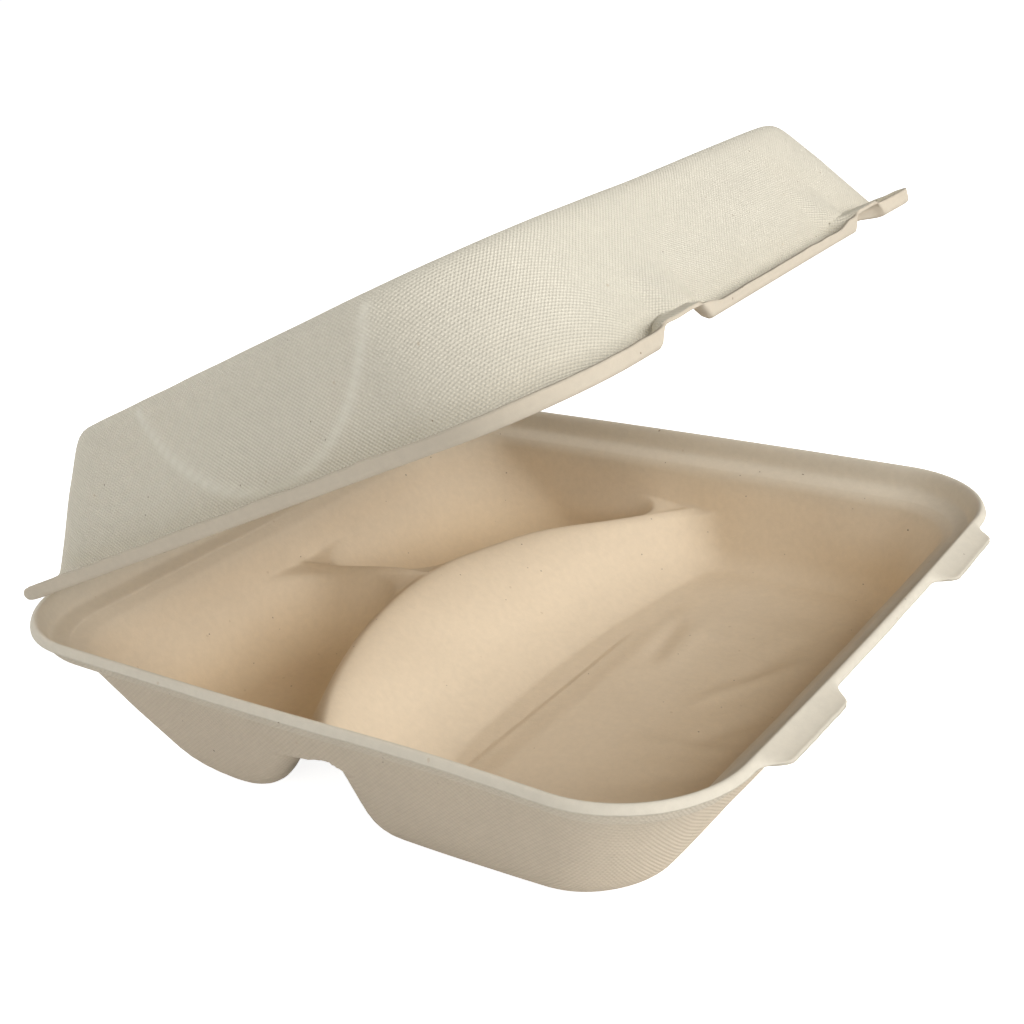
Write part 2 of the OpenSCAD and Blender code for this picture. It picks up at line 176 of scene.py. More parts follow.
# Tray: walls and dividers
def crest_x(y):
    """X of the curved divider's crest."""
    return CURVE_X + CURVE_R - np.sqrt(CURVE_R ** 2 - (y - MID) ** 2)


def foot_x(y):
    """X of the foot of the ramp on the curved divider's large side."""
    return FOOT_X + FOOT_R - np.sqrt(FOOT_R ** 2 - (y - MID) ** 2)


def crest_spread(below):
    """Half width of a divider's rounded crest at a distance below it."""
    u = np.clip(below / CREST_ROUND, 0, 1)
    return CREST_HALF * np.sqrt(u * (2 - u))


def bend_spread(depth):
    """How far the rounded bend at the floor stands in from the wall at a depth."""
    u = np.clip((DEPTH - depth) / BEND, 0, 1)
    return 0.75 * BEND * (1 - np.sqrt(u * (2 - u)))


def wall_share(depth):
    """How far down the wall a depth is, from 0 at the ledge to 1 at the floor."""
    return (depth - LEDGE_DEPTH) / (DEPTH - LEDGE_DEPTH)


def wall_box(depth, more=0.0):
    """The plan box of the tray's walls at a depth, drawn in by a little more."""
    t = wall_share(depth)
    h, la, s = (lerp(LEDGE_IN, f, t) + more for f in (FLOOR_HINGE, FLOOR_LATCH, FLOOR_SIDE))
    return (h, SIDE - la, s, SIDE - s)


def wall_radii(depth):
    """The corner radii of the tray's walls at a depth, for the hinge and the latch end."""
    t = np.clip(wall_share(depth), 0, 1)
    return (lerp(CORNER_R - LEDGE_IN, FLOOR_R[0], t), lerp(CORNER_R - LEDGE_IN, FLOOR_R[1], t))


def soft_min(a, b, k):
    """The smaller of a and b, rounded over k where they meet."""
    h = np.maximum(k - np.abs(a - b), 0) / k
    return np.minimum(a, b) - h * h * k / 4


def inside(p, depth, which):
    """Distance of plan points inside a compartment: 0 the large, 1 the far and -1 the near small one."""
    b = wall_box(depth, bend_spread(depth))
    radii = wall_radii(depth)
    r = np.where(p[:, 0] < (b[0] + b[1]) / 2, radii[0], radii[1])
    q0 = np.abs(p[:, 0] - (b[0] + b[1]) / 2) - (b[1] - b[0]) / 2 + r
    q1 = np.abs(p[:, 1] - MID) - (b[3] - b[2]) / 2 + r
    wall = r - np.hypot(np.maximum(q0, 0), np.maximum(q1, 0)) - np.minimum(np.maximum(q0, q1), 0)
    below = depth - CREST
    t = below / (DEPTH - CREST)
    y = np.clip(p[:, 1], 0, SIDE)
    begun = smooth(below / CREST_ROUND)
    if which == 0:
        slope = lerp(crest_x(y), foot_x(y), t + 0.02 * np.sin(2 * math.pi * t))
        ramp = p[:, 0] - slope - crest_spread(below) * (1 - t) - bend_spread(depth) * RAMP_BEND
        return soft_min(wall, ramp, BLEND * begun + 0.01)
    lean = below * DIVIDER_SLOPE + bend_spread(depth)
    curve = crest_x(y) - p[:, 0] - crest_spread(below) - lean
    cross = which * (p[:, 1] - MID) - crest_spread(below) * CROSS_HALF / CREST_HALF - lean
    web = soft_min(wall, curve, WEB_BLEND * begun + 0.01)
    return soft_min(web, cross, CROSS_BLEND * begun + 0.01)


def crest_lift(p):
    """How far the dividers' tops stand above the level crest, fading into the floors and the walls."""
    x, y, z = p.T
    v = np.abs(y - MID)
    below = np.maximum(-z - CREST, 0)
    curve_x = crest_x(np.clip(y, 0, SIDE))
    ramp_x = lerp(curve_x, foot_x(y), below / (DEPTH - CREST))
    side = np.where(x > curve_x, x - ramp_x, curve_x - x - below * DIVIDER_SLOPE)
    near_curve = np.exp(-(side / 12) ** 2) + 1e-6
    near_cross = np.exp(-((v - below * DIVIDER_SLOPE) / 9) ** 2) * smooth((curve_x - x) / 12 + 0.5)
    ends = np.where(y < MID, NEAR_LIFT * smooth((v - 62) / 30), -FAR_DROP * smooth((v - 42) / 48))
    along = MIDDLE_LIFT * np.exp(-(v / 38) ** 2) + ends
    across = lerp(-HINGE_DROP, MIDDLE_LIFT, smooth((x - 22) / 50))
    lift = (near_curve * along + near_cross * across) / (near_curve + near_cross)
    share = np.clip(1 - below / (DEPTH - CREST), 0, 1) * (1 - smooth((z + CREST) / 11))
    return lift * np.minimum(near_curve + near_cross, 1) * share


def meet(border, middle, depth, which):
    """Where the lines from a border to the middle enter a compartment at a depth."""
    lo, hi = np.zeros(len(border)), np.ones(len(border))
    for _ in range(26):
        t = (lo + hi) / 2
        out = inside(lerp(border, middle, t[:, None]), depth, which) < 0
        lo, hi = np.where(out, t, lo), np.where(out, hi, t)
    return lerp(border, middle, ((lo + hi) / 2)[:, None])


def hollow_side(p, depth, which):
    """Normals of a compartment's walls."""
    e = 0.05
    ex, ey = np.array([e, 0]), np.array([0, e])
    return unit(np.column_stack([
        inside(p + ex, depth, which) - inside(p - ex, depth, which),
        inside(p + ey, depth, which) - inside(p - ey, depth, which),
        inside(p, depth - e, which) - inside(p, depth + e, which)]))


def floor_relief(p):
    """Height of the large compartment's floor: a panel with a crisp edge and soft folds beyond it."""
    x, y = p[..., 0], p[..., 1]
    panel = smooth((x - PANEL_EDGE) / 1.5) * smooth((198 - x) / 34)
    panel = panel * smooth((y - 44) / 22) * smooth((160 - y) / 26)
    folds = np.zeros_like(x)
    for x0, y0, x1, y1, w, h in FOLDS:
        d = np.array([x1 - x0, y1 - y0])
        length = math.hypot(*d)
        d = d / length
        a = (x - x0) * d[0] + (y - y0) * d[1]
        c = (y - y0) * d[0] - (x - x0) * d[1]
        folds += h * np.exp(-(c / w) ** 2) * smooth(a / 14) * smooth((length - a) / 14)
    # The folded area stands up to a millimetre high, so that its furrows don't cut through the underside
    lift = smooth((x - 131) / 10) * smooth((207 - x) / 12) * smooth((y - 44) / 14) * smooth((182 - y) / 14)
    height = PANEL_HEIGHT * panel + lift + FOLD_SHARE * folds
    return 0.5 * (height + np.sqrt(height ** 2 + 0.02)) - 0.07


# Soft ridges (+) and furrows (-) of the large floor: from, to, half width and height before FOLD_SHARE
FOLDS = [
    (138, 172, 147, 128, 3.6, -1.3), (147, 168, 154, 126, 4.2, 0.8), (192, 160, 168, 110, 3.4, 1.5),
    (184, 178, 174, 128, 4.5, -1.5), (199, 140, 177, 88, 4.2, -1.8), (203, 100, 160, 88, 3.2, 1.4),
    (203, 92, 170, 68, 4.2, -1.7), (133, 107, 150, 97, 3.4, -0.7), (140, 159, 186, 159, 3.0, 0.7),
    (204, 120, 180, 96, 3.0, 1.0), (198, 76, 168, 54, 3.6, 1.1), (150, 120, 165, 100, 5.0, 0.5),
]


def make_mesh(name, points, cast, faces, slots, values):
    """A smooth mesh of quads and triangles; cast is each point's place in the flat mould."""
    mesh = bpy.data.meshes.new(name)
    sizes = np.concatenate([np.full(len(f), f.shape[1]) for f in faces])
    loops = np.concatenate([f.ravel() for f in faces])
    mesh.vertices.add(len(points))
    mesh.vertices.foreach_set("co", ((points - ORIGIN) * MM).ravel())
    mesh.loops.add(len(loops))
    mesh.loops.foreach_set("vertex_index", loops)
    mesh.polygons.add(len(sizes))
    mesh.polygons.foreach_set("loop_start", np.concatenate([[0], np.cumsum(sizes)[:-1]]))
    mesh.polygons.foreach_set("loop_total", sizes)
    face_slots = np.concatenate([np.full(len(f), k) for f, k in zip(faces, slots)])
    mesh.polygons.foreach_set("material_index", face_slots)
    mesh.polygons.foreach_set("use_smooth", np.ones(len(sizes), bool))
    flat_mould = mesh.attributes.new("cast", "FLOAT_VECTOR", "POINT")
    flat_mould.data.foreach_set("vector", (cast * MM).ravel())
    for label, value in values.items():
        mesh.attributes.new(label, "FLOAT", "POINT").data.foreach_set("value", value)
    mesh.update(calc_edges=True)
    mesh.validate()
    obj = bpy.data.objects.new(name, mesh)
    scene.collection.objects.link(obj)
    return obj


def between(a, b, flip=False):
    """Quads between two closed rings of point numbers."""
    quads = np.column_stack([a, np.roll(a, -1), np.roll(b, -1), b])
    return quads[:, ::-1] if flip else quads


def cut_edge(a, b, out):
    """A ring of points rounding off the cut edge between two skins' rings."""
    along = np.roll(a, -1, 0) - np.roll(a, 1, 0)
    return (a + b) / 2 + out * unit(np.cross(along, a - b))


def arc_length(ring):
    """Distance along a closed ring, point by point."""
    steps = np.linalg.norm(np.roll(ring, -1, 0) - ring, axis=1)
    return np.concatenate([[0], np.cumsum(steps)])


def ragged_edge(ring, seed, size):
    """Small seeded unevenness along a cut edge."""
    run_length = arc_length(ring)[:-1]
    return waves(run_length[:, None] * [1, 0, 0], seed, 18, 3, 32) * size


# Tray
def tray_stations():
    """Stations around the tray, and how many border the large and each small compartment."""
    box, radii = wall_box(CREST), wall_radii(CREST)
    join = (crest_x(box[2]) - box[0] - radii[0]) / (box[1] - box[0] - radii[0] - radii[1])
    near = np.vstack([[[join, 0, 0, -1]], run(join, 1, 44, 0, 0, -1)])
    latch = np.vstack([corner(1, 0, -90, 22), run(0, 1, 120, 1, 1, 1), corner(1, 1, 0, 22)])
    far = run(1, join, 44, 0, 1, 1)
    far_hinge = np.vstack([
        [[join, 1, 0, 1]], run(join, 0, 34, 0, 1, 1), corner(0, 1, 90, 18), run(1, 0.5, 30, 1, 0, -1)])
    near_hinge = np.vstack([
        [[0, 0.5, -1, 0]], run(0.5, 0, 30, 1, 0, -1), corner(0, 0, 180, 18), run(0, join, 34, 0, 0, -1)])
    around = np.vstack([near, latch, far, far_hinge, near_hinge])
    return around, len(near) + len(latch) + len(far) + 1, len(far_hinge) + 1


# Inset and depth of the rim, from the lip's cut edge over the roll, down to the ledge and the wall
RIM_ROWS = [
    (0.0, 2.3), (0.2, 1.6), (0.55, 0.8), (1.05, 0.2), (1.7, 0.0), (2.5, 0.5), (3.4, 2.0),
    (4.1, 4.3), (4.8, 6.2), (5.9, 7.1), (8.2, 8.0), (9.9, 8.7), (10.6, 9.4)
]


def tray_rim(s):
    """Rings of the rim, ledge and upper wall, with their normals."""
    n = len(s)
    at = place(s, (0, SIDE, 0, SIDE), (CORNER_R, CORNER_R))
    turned = smooth(2 * at[:, 0] / CORNER_R)
    latch_side = s[:, 2] > 0.999
    tab = sum(feature(at[:, 1], m, TAB_ROOT, TAB_ROOT - TAB_TIP) for m in (-TAB_AT, TAB_AT)) * latch_side
    ragged = ragged_edge(np.column_stack([at, np.zeros(n)]), 5, 0.12)
    rings = []
    for inset, depth in refine(RIM_ROWS, [2] * 12):
        share = np.clip(1 - inset / 0.9, 0, 1)
        d = np.where(inset < 1.7, lerp(min(0.4, depth), depth, turned), depth)
        p = place(s, (inset, SIDE - inset, inset, SIDE - inset), (CORNER_R - inset,) * 2)
        z = -lerp(d, TAB_DROP * share + d * (1 - share), tab) - ragged * share * turned
        rings.append(np.column_stack([p[:, 0] + tab * share * (TAB_FLARE + ragged), p[:, 1], z]))
    start = LEDGE_DEPTH + 3.4
    for depth in lerp(start, CREST, np.arange(7) / 6):
        rings.append(np.column_stack([place(s, wall_box(depth), wall_radii(depth)), np.full(n, -depth)]))
    rings = np.array(rings)
    normals = grid_normals(rings)
    fall = np.where(s[:, 2] < 0, FLOOR_HINGE, FLOOR_LATCH) - LEDGE_IN
    fall = (s[:, 2] ** 2 * fall + s[:, 3] ** 2 * (FLOOR_SIDE - LEDGE_IN)) / (DEPTH - LEDGE_DEPTH)
    normals[-1] = unit(np.column_stack([-s[:, 2], -s[:, 3], fall]))
    return rings, normals


def crest_lines(first):
    """Points along the dividers' tops, and the point numbers of each stretch, counted from first."""
    box = wall_box(CREST)
    ys = lerp(box[3], MID, np.arange(1, 44) / 44)
    far_curve = np.column_stack([crest_x(ys), ys, np.full(len(ys), -CREST)])
    near_curve = far_curve[::-1] * [1, -1, 1] + [0, SIDE, 0]
    xs = lerp(CURVE_X, box[0], np.arange(1, 26) / 26)
    cross = np.column_stack([xs, np.full(len(xs), MID), np.full(len(xs), -CREST)])
    points = np.vstack([far_curve, [[CURVE_X, MID, -CREST]], near_curve, cross])
    far = first + np.arange(len(far_curve))
    middle = [far[-1] + 1]
    near = middle[0] + 1 + np.arange(len(near_curve))
    return points, far, middle, near, near[-1] + 1 + np.arange(len(cross))


def compartment_depths():
    """Depths of the rings down a compartment's walls: close at the crest and in the bend at the floor."""
    return np.concatenate([
        CREST + CREST_ROUND * np.array([0.03, 0.1, 0.2, 0.32, 0.46, 0.62, 0.8, 1]),
        lerp(CREST + CREST_ROUND, DEPTH - BEND, np.arange(1, 10) / 9),
        DEPTH - BEND * np.array([0.75, 0.55, 0.38, 0.24, 0.13, 0.05, 0.01])])


def compartment(border, plan, middle, which, base):
    """Points, normals and faces of a compartment: rings down its walls, then over its floor to the middle."""
    m = len(border)
    steps = LARGE_RINGS if which == 0 else SMALL_RINGS
    up = np.tile([0, 0, 1.0], (m, 1))
    points, normals = [], []
    for depth in compartment_depths():
        edge = meet(plan, middle, depth, which)
        points.append(np.column_stack([edge, np.full(m, -depth)]))
        normals.append(hollow_side(edge, depth, which))
    normals[-1] = up
    for t in np.arange(1, steps + 1) / (steps + 1):
        points.append(np.column_stack([lerp(edge, middle, t), np.full(m, -DEPTH)]))
        normals.append(up)
    rings = [border] + [base + m * k + np.arange(m) for k in range(len(points))]
    faces = [between(a, b) for a, b in zip(rings, rings[1:])]
    centre = base + m * len(points)
    faces.append(np.column_stack([rings[-1], np.roll(rings[-1], -1), np.full(m, centre)]))
    points.append(np.array([[*middle, -DEPTH]]))
    normals.append(up[:1])
    return np.vstack(points), np.vstack(normals), faces


def tray_food_side():
    """Points, normals, each point's compartment or RIM, faces, and how many points ring the rim."""
    s, large_n, small_n = tray_stations()
    n = len(s)
    rim, rim_n = tray_rim(s)
    joint = n * (len(rim) - 1)
    crests, far, middle, near, cross = crest_lines(joint + n)
    far_at = large_n - 1
    near_at = far_at + small_n - 1
    large_mid = np.array([lerp(FOOT_X, SIDE - FLOOR_LATCH, 0.45), MID])
    small_mid = np.array([FLOOR_HINGE + 17, lerp(FLOOR_SIDE, MID, 0.4)])
    cells = (
        (0, large_mid, [joint + np.arange(large_n), far, middle, near]),
        (1, small_mid * [1, -1] + [0, SIDE],
         [joint + far_at + np.arange(small_n), cross[::-1], middle, far[::-1]]),
        (-1, small_mid, [joint + (near_at + np.arange(small_n)) % n, near[::-1], middle, cross]))

    known = np.vstack([rim.reshape(-1, 3), crests])
    top = [known]
    normal = [rim_n.reshape(-1, 3), np.tile([0, 0, 1.0], (len(crests), 1))]
    cell = [np.full(len(known), RIM)]
    faces = [between(n * k + np.arange(n), n * (k + 1) + np.arange(n)) for k in range(len(rim) - 1)]
    base = len(known)
    for which, centre, stretches in cells:
        border = np.concatenate(stretches)
        points, normals, sides = compartment(border, known[border][:, :2], centre, which, base)
        top.append(points)
        normal.append(normals)
        faces += sides
        cell.append(np.full(len(points), which))
        base += len(points)
    return np.vstack(top), np.vstack(normal), np.concatenate(cell), faces, n


def build_tray():
    """The tray: its food side, its mesh side a wall's thickness away, and the rounded cut edge."""
    top, normal, cell, faces, n = tray_food_side()
    under = top - WALL * normal
    lift = crest_lift(top) * (top[:, 2] > -DEPTH)
    small = np.abs(cell) == 1
    lift += SMALL_LIFT * small * smooth((-top[:, 2] - CREST) / (DEPTH - CREST))
    free = smooth((-top[:, 2] - 3) / 10) * smooth((DEPTH + 0.6 + top[:, 2]) / 3)
    shift = normal * ((waves(top, 11, 14, 30, 90) * 0.2 + waves(top, 12, 14, 10, 20) * 0.05) * free)[:, None]
    shift[:, 2] += lift
    on_floor = (cell == 0) * smooth((-top[:, 2] - DEPTH + 1.2) / 1.0)
    soft_floor = waves(top, 13, 12, 16, 60) * 0.12 * smooth((-top[:, 2] - DEPTH + 1) / 1)
    # Painted shade: a warmer brown deep in the small compartments and on the large compartment's latch wall
    # and the floor beside it, where shade falls
    painted_shade = np.where(small, smooth((-top[:, 2] - 20) / 22), 0) + np.where(
        cell == 0, smooth((top[:, 0] - 150) / 50) * smooth((-top[:, 2] - 18) / 16), 0)
    # How deep each point lies, for the colour's change with depth, which on the food side is painted shade
    depth_share = np.clip(-top[:, 2] / DEPTH, 0, 1)
    top, under = top + shift, under + shift
    top[:, 2] += floor_relief(top[:, :2]) * on_floor + np.abs(soft_floor)
    under[:, 2] = np.maximum(under[:, 2], -DEPTH - WALL)

    count = len(top)
    edge = cut_edge(top[:n], under[:n], -0.25)
    edge_i = 2 * count + np.arange(n)
    rounding = [between(edge_i, np.arange(n)), between(count + np.arange(n), edge_i)]
    points = bowed(np.vstack([top, under, edge]))
    normals = np.vstack([normal, -normal, normal[:n]])
    return make_mesh(
        "tray_shell", points, points, faces + [f[:, ::-1] + count for f in faces] + rounding,
        [1] * len(faces) + [0] * len(faces) + [1, 1],
        {"deep": np.concatenate([depth_share, depth_share, np.zeros(n)]),
         "painted_shade": np.concatenate([painted_shade, np.zeros(count + n)]),
         "side": np.abs(normals[:, 0]), "press": np.zeros(len(points))})


# Lid
# Inset, height, share of the wall's lean, share of the wall's corner radius, height and bulge in a notch
LID_ROWS = [
    (0.00, 4.0, 0, 0, 4.1, 0), (0.25, 2.2, 0, 0, 4.1, 0), (0.55, 0.8, 0, 0, 4.2, 0),
    (1.4, 0.0, 0, 0, 4.4, 0), (3.2, 0.2, 0, 0.1, 4.6, 0), (5.5, 1.3, 0, 0.4, 4.8, 0.2),
    (7.2, 2.6, 0, 0.8, 5.2, 0.9), (8.0, 4.6, 0, 1, 6.0, 1.5),
    (8.0, 10.0, 0.165, 1, 10.0, 1.6), (8.0, 16.0, 0.35, 1, 16.0, 0.5), (8.0, 22.5, 0.55, 1, 22.5, 0),
    (8.0, 28.5, 0.75, 1, 28.5, 0), (8.05, 32.8, 0.89, 1, 32.8, 0), (8.4, 35.2, 0.965, 1, 35.2, 0),
    (9.3, 36.6, 1.0, 1, 36.6, 0), (11.0, 37.3, 1.0, 1, 37.3, 0), (14.0, 37.5, 1.0, 1, 37.5, 0)
]


def lid_box(inset, t):
    """The lid's plan box at an inset and a share of the wall's lean."""
    return (inset + t * LEAN_HINGE, LID_LENGTH - inset - t * LEAN_LATCH,
            LID_Y + inset + t * LEAN_SIDE, LID_Y + LID_WIDTH - inset - t * LEAN_SIDE)


def lid_rings():
    """Rings of the closed lid's inside, from its lip to the edge of its top."""
    s = np.vstack([
        run(0, 1, 190, 0, 0, -1), corner(1, 0, -90, 22), run(0, 1, 130, 1, 1, 1), corner(1, 1, 0, 22),
        run(1, 0, 80, 0, 1, 1), corner(0, 1, 90, 18), run(1, 0, 60, 1, 0, -1), corner(0, 0, 180, 18)])
    n = len(s)
    rim = place(s, lid_box(0, 0), (LID_R, LID_R))
    latch_side = s[:, 2] > 0.999
    notch = sum(feature(rim[:, 1], m, w, NOTCH_TAPER) for m, w in NOTCHES) * latch_side
    pad = sum(feature(rim[:, 1], m, w - 2, 13) for m, w in NOTCHES) * latch_side
    low = 1 - 0.3 * latch_side * smooth((44 - np.abs(rim[:, 1] - MID)) / 8)
    turned = smooth((rim[:, 0] - 7) / 16)
    ragged = ragged_edge(np.column_stack([rim, np.zeros(n)]), 8, 0.16)
    rings = []
    for inset, z, t, rs, lift, bulge in refine(LID_ROWS, [3] * 11 + [2] * 5):
        r = max(lerp(LID_R - inset, LID_WALL_R + LID_FOOT - inset, rs), 4)
        p = place(s, lid_box(inset, t), (r, r))
        edge = np.clip(1 - inset / 1.4, 0, 1)
        plain = lerp(min(z, 0.2), z, turned) * low if inset < 1.4 else np.full(n, z)
        h = lerp(plain, np.maximum(plain, lift), notch) + ragged * edge * turned
        rings.append(np.column_stack([p[:, 0] + pad * bulge, p[:, 1], h]))
    return np.array(rings), n


def build_lid():
    """The lid, built closed and then turned open about the crease."""
    rings, n = lid_rings()
    normals = grid_normals(rings)
    normals[-1] = [0, 0, 1]
    # The top closes towards its middle in further rings
    centre = np.array([LID_LENGTH / 2 + 5, MID, LID_HEIGHT])
    steps = LID_TOP_RINGS
    more = np.array([lerp(rings[-1], centre, t) for t in np.arange(1, steps + 1) / (steps + 1)])
    rings = np.concatenate([rings, more])
    normals = np.concatenate([normals, np.tile([0, 0, 1.0], (steps, n, 1))])
    inner = np.vstack([rings.reshape(-1, 3), centre])
    normal = np.vstack([normals.reshape(-1, 3), [0, 0, 1.0]])
    outer = inner + WALL * normal

    # A faint raised arc pressed into the near wall, and soft unevenness. In the material the arc is also
    # painted paler, partly for its smooth pressed fibre and partly as a painted highlight along the ridge.
    x, z = outer[:, 0], outer[:, 2]
    near_wall = smooth((-normal[:, 1] - 0.75) / 0.15) * smooth((z - 3.5) / 2)
    arc = np.exp(-((np.hypot(x - ARC_X, z - ARC_Z) - ARC_R) / 1.3) ** 2) * near_wall
    body = smooth((inner[:, 2] - 3) / 8)
    bump = waves(inner, 21, 12, 60, 140) * 0.22 + waves(inner, 22, 14, 12, 28) * 0.05
    middle = smooth(1 - np.hypot(inner[:, 0] - 120, inner[:, 1] - MID) / 105)
    sag = -0.8 * smooth((inner[:, 2] - 36) / 1.4) * middle
    move = normal * (bump * body + sag)[:, None]
    inner, outer = inner + move, outer + move + normal * (ARC_HEIGHT * arc)[:, None]

    faces = [between(n * k + np.arange(n), n * (k + 1) + np.arange(n), True) for k in range(len(rings) - 1)]
    lip = n * (len(rings) - 1) + np.arange(n)
    faces.append(np.column_stack([np.roll(lip, -1), lip, np.full(n, len(inner) - 1)]))
    count = len(inner)
    edge = cut_edge(inner[:n], outer[:n], 0.25)
    edge_i = 2 * count + np.arange(n)
    rounding = [between(edge_i, np.arange(n), True), between(count + np.arange(n), edge_i, True)]
    cast = np.vstack([inner, outer, edge])
    normals = np.vstack([normal, normal, normals[0]])
    points = cast.copy()
    across = (points[:, 1] - LID_Y) / LID_WIDTH
    points[:, 2] += TWIST * smooth(0.15 + 0.85 * across) * np.clip(points[:, 0] / LID_LENGTH, 0, 1.1) ** 1.6
    x, z = points[:, 0] + GAP, points[:, 2] + GAP / 2
    points[:, 0] = x * math.cos(OPEN) - z * math.sin(OPEN) - GAP
    points[:, 2] = x * math.sin(OPEN) + z * math.cos(OPEN) + GAP / 2
    return make_mesh(
        "lid_shell", points, cast * [1, 1, -1], faces + [f[:, ::-1] + count for f in faces] + rounding,
        [1] * len(faces) + [0] * len(faces) + [1, 1],
        {"deep": np.clip(cast[:, 2] / LID_HEIGHT, 0, 1), "painted_shade": np.zeros(len(points)),
         "side": np.abs(normals[:, 0]), "press": np.concatenate([np.zeros(count), arc, np.zeros(n)])})


# The fold between them
def build_fold():
    """The folded strip of fibre that joins tray and lid outside the crease."""
    outer = [
        (0.9, -1.15), (0.1, -1.35), (-0.45, -1.0), (-0.75, -0.35),
        (-0.8, 0.4), (-0.72, 1.05), (-0.35, 1.5), (0.5, 1.95)]
    inner = [
        (0.9, -0.45), (0.2, -0.5), (-0.15, -0.3), (-0.3, 0.0),
        (-0.3, 0.4), (-0.15, 0.75), (0.1, 1.0), (0.75, 1.35)]
    section = np.array(outer + inner[::-1])
    m = len(section)
    ends = [33.0, 33.6, 34.6]
    ys = np.concatenate([ends, lerp(36.0, SIDE - 36.0, np.arange(61) / 60), SIDE - np.array(ends[::-1])])
    scale = np.interp(np.minimum(ys, SIDE - ys), [33, 34.6, 36], [0.35, 0.8, 1])
    middle = section.mean(0)
    rings = []
    for y, w in zip(ys, scale):
        shrunk = (section - middle) * w + middle
        rings.append(np.column_stack([shrunk[:, 0], np.full(m, y), shrunk[:, 1]]))
    rings = np.array(rings)
    rings[:, :, 0] += waves(rings * [0.2, 1, 0.2], 31, 10, 8, 40) * 0.08
    points = rings.reshape(-1, 3)
    faces = [between(m * k + np.arange(m), m * (k + 1) + np.arange(m), True) for k in range(len(ys) - 1)]
    faces += [np.arange(m)[None, :], (m * (len(ys) - 1) + np.arange(m))[::-1][None, :]]
    flat = np.zeros(len(points))
    return make_mesh("fold_crease", points, points, faces, [0] * len(faces),
                     {"deep": flat, "painted_shade": flat, "side": flat + 1, "press": flat + 1})


# Materials
class Nodes:
    """Shorthand for building a node tree."""

    def __init__(self, tree):
        self.tree = tree

    def add(self, kind, inputs=None, **settings):
        node = self.tree.nodes.new(kind)
        for key, value in settings.items():
            setattr(node, key, value)
        for key, value in (inputs or {}).items():
            self.put(node.inputs[key], value)
        return node

    def put(self, socket, value):
        if isinstance(value, bpy.types.NodeSocket):
            self.tree.links.new(value, socket)
        elif isinstance(value, bpy.types.Node):
            self.tree.links.new(value.outputs[0], socket)
        else:
            socket.default_value = value

    def math(self, operation, a, b=None):
        node = self.add("ShaderNodeMath", operation=operation)
        self.put(node.inputs[0], a)
        if b is not None:
            self.put(node.inputs[1], b)
        return node.outputs[0]

    def ramp(self, value, low, high):
        node = self.add("ShaderNodeMapRange", {0: value, 1: low, 2: high}, interpolation_type="SMOOTHSTEP")
        return node.outputs[0]

    def mix(self, factor, a, b):
        node = self.add("ShaderNodeMix", data_type="RGBA")
        self.put(node.inputs[0], factor)
        self.put(node.inputs[6], a)
        self.put(node.inputs[7], b)
        return node.outputs[2]


def vector(n, operation, a, b):
    """A vector sum, product or dot product."""
    return n.add("ShaderNodeVectorMath", {0: a, 1: b}, operation=operation)


def noise(n, where, scale, detail, rough=0.5):
    """Outputs of a noise: its value, then its colour."""
    inputs = {"Vector": where, "Scale": scale, "Detail": detail, "Roughness": rough}
    return n.add("ShaderNodeTexNoise", inputs).outputs


def stored(n, label):
    """A number that the mesh stores for each point."""
    return n.add("ShaderNodeAttribute", attribute_name=label).outputs["Fac"]


def shared(n, a, b, share):
    """The value a share of the way from a to b."""
    rest = n.math("SUBTRACT", 1.0, share)
    return n.math("ADD", n.math("MULTIPLY", a, rest), n.math("MULTIPLY", b, share))


# Bits of husk: cells a metre, size in a cell, share of the cells, colour and strength
FLECKS = [
    (300.0, 0.10, 0.08, (0.20, 0.13, 0.08, 1), 0.7),
    (120.0, 0.05, 0.12, (0.14, 0.10, 0.06, 1), 0.8),
    (190.0, 0.12, 0.09, (0.50, 0.37, 0.23, 1), 0.35),
]


def flecks(n, where, colour):
    """Small dark flecks and a few larger pale brown ones, at irregular places."""
    jitter = noise(n, where, 500.0, 2.0)[1]
    bent = vector(n, "ADD", where, vector(n, "MULTIPLY", jitter, (0.0012, 0.0012, 0.0012)))
    for scale, size, share, tint, strength in FLECKS:
        cells = n.add("ShaderNodeTexVoronoi", {"Vector": bent, "Scale": scale})
        chosen = n.add("ShaderNodeSeparateColor", {0: cells.outputs["Color"]}).outputs[0]
        spot = n.math("SUBTRACT", 1.0, n.ramp(cells.outputs["Distance"], size * 0.5, size))
        spot = n.math("MULTIPLY", spot, n.math("LESS_THAN", chosen, share))
        colour = n.mix(n.math("MULTIPLY", spot, strength), colour, tint)
    return colour


